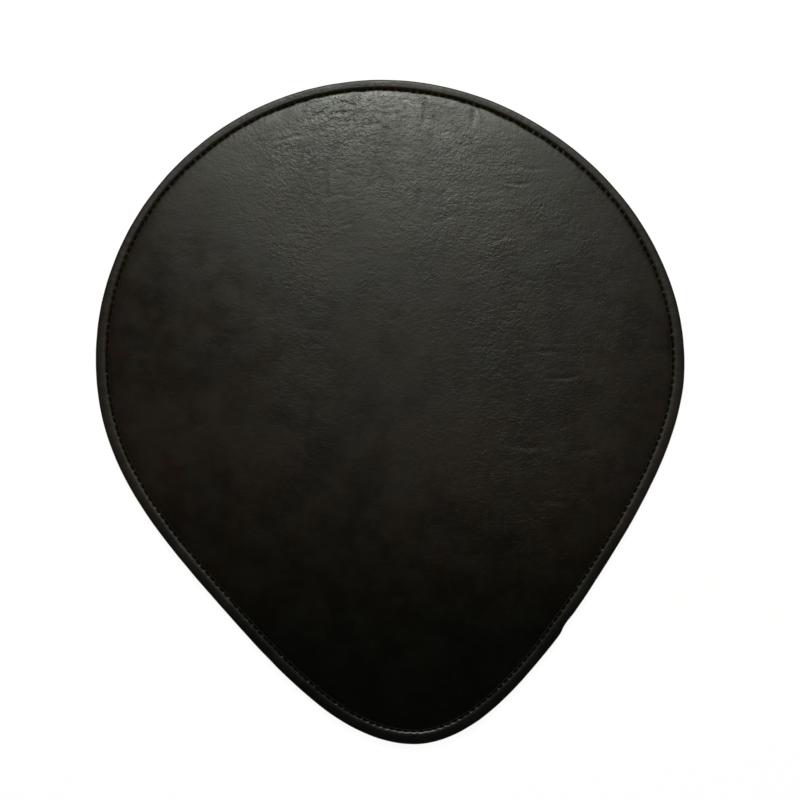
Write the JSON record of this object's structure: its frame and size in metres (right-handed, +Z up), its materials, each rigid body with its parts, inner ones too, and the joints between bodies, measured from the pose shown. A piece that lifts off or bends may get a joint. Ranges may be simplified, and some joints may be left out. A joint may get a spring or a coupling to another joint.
{
  "type": "mouse pad",
  "caption": "Egg-shaped padded leather mouse pad with a turned, stitched edge on a thin non-slip base.",
  "frame": {"origin": "on the surface that the pad lies on, under the middle of its outline's box", "axes": "+Z up out of the working face; +Y towards the round end, along the pad's length; +X across its width"},
  "size_m": [0.2032, 0.2292, 0.005],
  "materials": {
    "cover_leather": "satin, fine wrinkled grain",
    "sewing_thread": "twisted polyester",
    "foam": "open-cell foam, matte",
    "fibre_board": "matte",
    "base_rubber": "matte, fine non-slip texture"
  },
  "bodies": {
    "root": {"nonslip_base": "base_rubber", "bobbin_thread": "sewing_thread", "stiffener_board": "fibre_board", "foam_padding": "foam", "leather_cover": "cover_leather", "needle_thread": "sewing_thread"}
  },
  "joints": []
}
